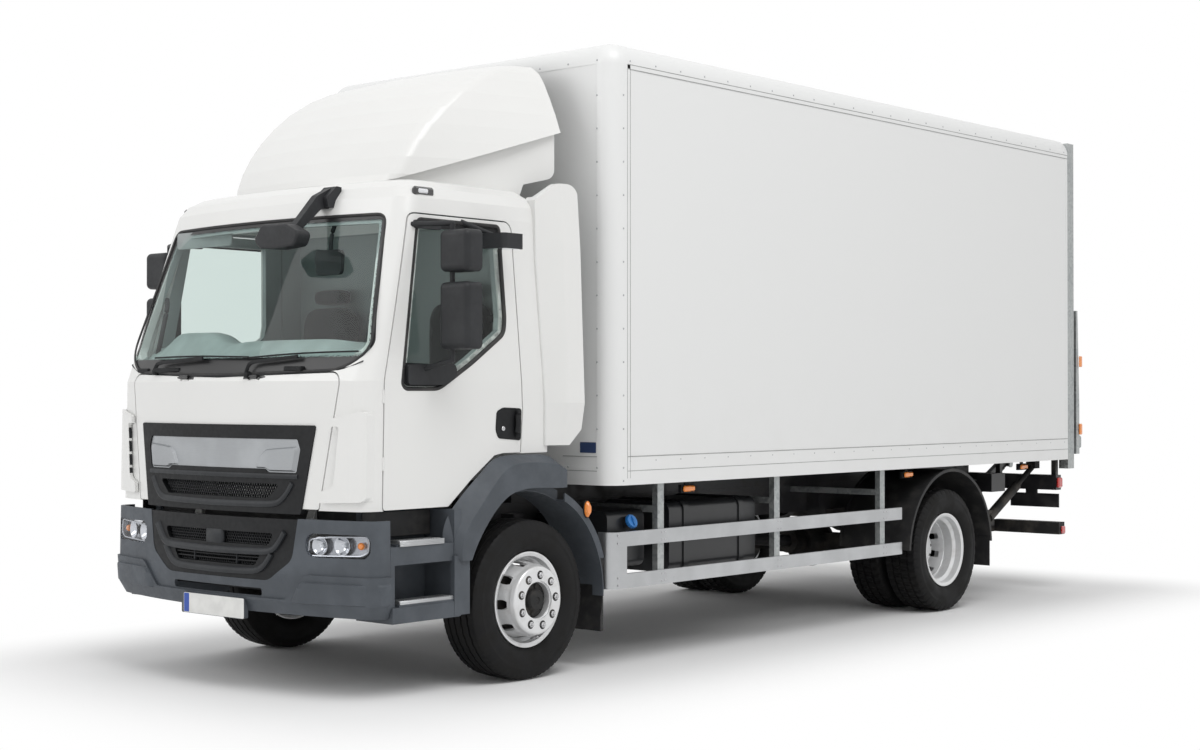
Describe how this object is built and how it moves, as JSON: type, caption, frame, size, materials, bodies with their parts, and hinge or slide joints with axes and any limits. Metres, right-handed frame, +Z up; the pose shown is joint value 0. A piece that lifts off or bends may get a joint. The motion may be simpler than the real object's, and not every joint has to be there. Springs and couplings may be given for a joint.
{
  "type": "two-axle box truck with tail lift",
  "caption": "Cab-over rigid box truck with tilting cab, hinged doors and front panel, steered front axle, twin rear wheels and a tail lift stowed upright behind the load space",
  "frame": {"origin": "middle of the bounding box at ground level, under the vehicle's centre", "axes": "+Z up, the front faces -Y, +X is the vehicle's left side"},
  "size_m": [2.784, 7.835, 3.64],
  "materials": {
    "cab_paint": "white gloss paint",
    "box_skin": "white satin panel",
    "chassis_black": "black chassis paint",
    "bumper_plastic": "dark blue-grey moulded plastic",
    "grille_black": "black moulded plastic",
    "mirror_plastic": "grained black plastic",
    "badge_silver": "silver satin",
    "galvanised": "galvanised steel",
    "aluminium": "mill aluminium",
    "wheel_silver": "silver wheel paint",
    "tyre": "tyre rubber",
    "rubber": "black rubber",
    "clear_glass": "tinted glass",
    "lamp_glass": "clear lamp lens",
    "cast_iron": "cast iron",
    "interior_plastic": "grey interior plastic",
    "seat_fabric": "dark woven fabric",
    "shutter_skin": "white shutter slats"
  },
  "bodies": {
    "chassis": {"chassis_frame": "chassis_black", "engine_block": "cast_iron", "front_axle": "cast_iron", "rear_axle": "cast_iron", "propshaft": "chassis_black", "leaf_springs": "chassis_black", "fuel_tanks": "chassis_black", "side_boxes": "chassis_black", "bumper": "bumper_plastic", "lower_grille": "grille_black", "headlamps": "lamp_glass", "step_wells": "bumper_plastic", "front_mudflaps": "rubber", "side_guards": "aluminium", "guard_posts": "galvanised", "rear_mudguards": "rubber", "rear_lamp_bar": "chassis_black", "lift_frame": "galvanised", "box_floor": "chassis_black", "box_roof": "box_skin", "box_front_wall": "box_skin", "box_side_left": "box_skin", "box_side_right": "box_skin", "rear_frame": "galvanised", "roller_shutter": "shutter_skin"},
    "cab": {"cab_body": "cab_paint", "cab_roof": "cab_paint", "corner_panels": "cab_paint", "windscreen": "clear_glass", "dashboard": "interior_plastic", "seats": "seat_fabric", "roof_deflector": "cab_paint", "side_extenders": "cab_paint", "wipers": "grille_black", "front_mirror": "mirror_plastic"},
    "front_lid": {"front_panel": "cab_paint", "grille": "grille_black", "grille_badge": "badge_silver"},
    "steering_wheel": {"steering_wheel": "mirror_plastic"},
    "door_left": {"door_left": "cab_paint", "door_glass_left": "clear_glass", "mirrors_left": "mirror_plastic"},
    "knuckle_left": {"knuckle_left": "cast_iron"},
    "front_wheel_left": {"front_rim_left": "wheel_silver", "front_tyre_left": "tyre"},
    "rear_wheels_left": {"rear_rims_left": "wheel_silver", "rear_tyres_left": "tyre"},
    "door_right": {"door_right": "cab_paint", "door_glass_right": "clear_glass", "mirrors_right": "mirror_plastic"},
    "knuckle_right": {"knuckle_right": "cast_iron"},
    "front_wheel_right": {"front_rim_right": "wheel_silver", "front_tyre_right": "tyre"},
    "rear_wheels_right": {"rear_rims_right": "wheel_silver", "rear_tyres_right": "tyre"},
    "lift_arms": {"lift_arms": "chassis_black"},
    "lift_struts": {"lift_struts": "chassis_black"},
    "lift_knees": {"lift_knees": "galvanised"},
    "lift_platform": {"lift_platform": "galvanised"}
  },
  "joints": [
    {"name": "cab_tilt", "type": "hinge", "parent": "chassis", "child": "cab", "pos_m": [0, -3.6875, 0.72], "axis": [1, 0, 0], "range_deg": [0, 50]},
    {"name": "front_lid_hinge", "type": "hinge", "parent": "cab", "child": "front_lid", "pos_m": [0, -3.8755, 1.688], "axis": [-1, 0, 0], "range_deg": [0, 70]},
    {"name": "steering_wheel_turn", "type": "hinge", "parent": "cab", "child": "steering_wheel", "pos_m": [-0.56, -3.2375, 1.76], "axis": [0, 0.5, 0.866], "range_deg": [-640, 640]},
    {"name": "door_left_hinge", "type": "hinge", "parent": "cab", "child": "door_left", "pos_m": [1.065, -3.6405, 1.6], "axis": [0, 0, -1], "range_deg": [0, 80]},
    {"name": "steer_left", "type": "hinge", "parent": "chassis", "child": "knuckle_left", "pos_m": [0.9, -2.5975, 0.4475], "axis": [0, 0, 1], "range_deg": [-40, 40]},
    {"name": "roll_front_left", "type": "hinge", "parent": "knuckle_left", "child": "front_wheel_left", "pos_m": [1, -2.5975, 0.4475], "axis": [1, 0, 0], "continuous": true},
    {"name": "roll_rear_left", "type": "hinge", "parent": "chassis", "child": "rear_wheels_left", "pos_m": [0.92, 1.8025, 0.4475], "axis": [1, 0, 0], "continuous": true},
    {"name": "door_right_hinge", "type": "hinge", "parent": "cab", "child": "door_right", "pos_m": [-1.065, -3.6405, 1.6], "axis": [0, 0, 1], "range_deg": [0, 80]},
    {"name": "steer_right", "type": "hinge", "parent": "chassis", "child": "knuckle_right", "pos_m": [-0.9, -2.5975, 0.4475], "axis": [0, 0, 1], "range_deg": [-40, 40]},
    {"name": "roll_front_right", "type": "hinge", "parent": "knuckle_right", "child": "front_wheel_right", "pos_m": [-1, -2.5975, 0.4475], "axis": [1, 0, 0], "continuous": true},
    {"name": "roll_rear_right", "type": "hinge", "parent": "chassis", "child": "rear_wheels_right", "pos_m": [-0.92, 1.8025, 0.4475], "axis": [1, 0, 0], "continuous": true},
    {"name": "lift_raise", "type": "hinge", "parent": "chassis", "child": "lift_arms", "pos_m": [0, 2.9425, 0.62], "axis": [-1, 0, 0], "range_deg": [0, 55]},
    {"name": "lift_strut_swing", "type": "hinge", "parent": "chassis", "child": "lift_struts", "pos_m": [0, 2.9425, 0.56], "axis": [-1, 0, 0], "range_deg": [0, 55]},
    {"name": "lift_level", "type": "hinge", "parent": "lift_arms", "child": "lift_knees", "pos_m": [0, 3.8705, 1.06], "axis": [-1, 0, 0], "range_deg": [-55, 0]},
    {"name": "platform_open", "type": "hinge", "parent": "lift_knees", "child": "lift_platform", "pos_m": [0, 3.8705, 1.06], "axis": [-1, 0, 0], "range_deg": [0, 95]}
  ],
  "couplings": [
    {"joint": "steer_right", "follows": "steer_left", "ratio": 1},
    {"joint": "steering_wheel_turn", "follows": "steer_left", "ratio": 16},
    {"joint": "lift_strut_swing", "follows": "lift_raise", "ratio": 1},
    {"joint": "lift_level", "follows": "lift_raise", "ratio": -1}
  ]
}
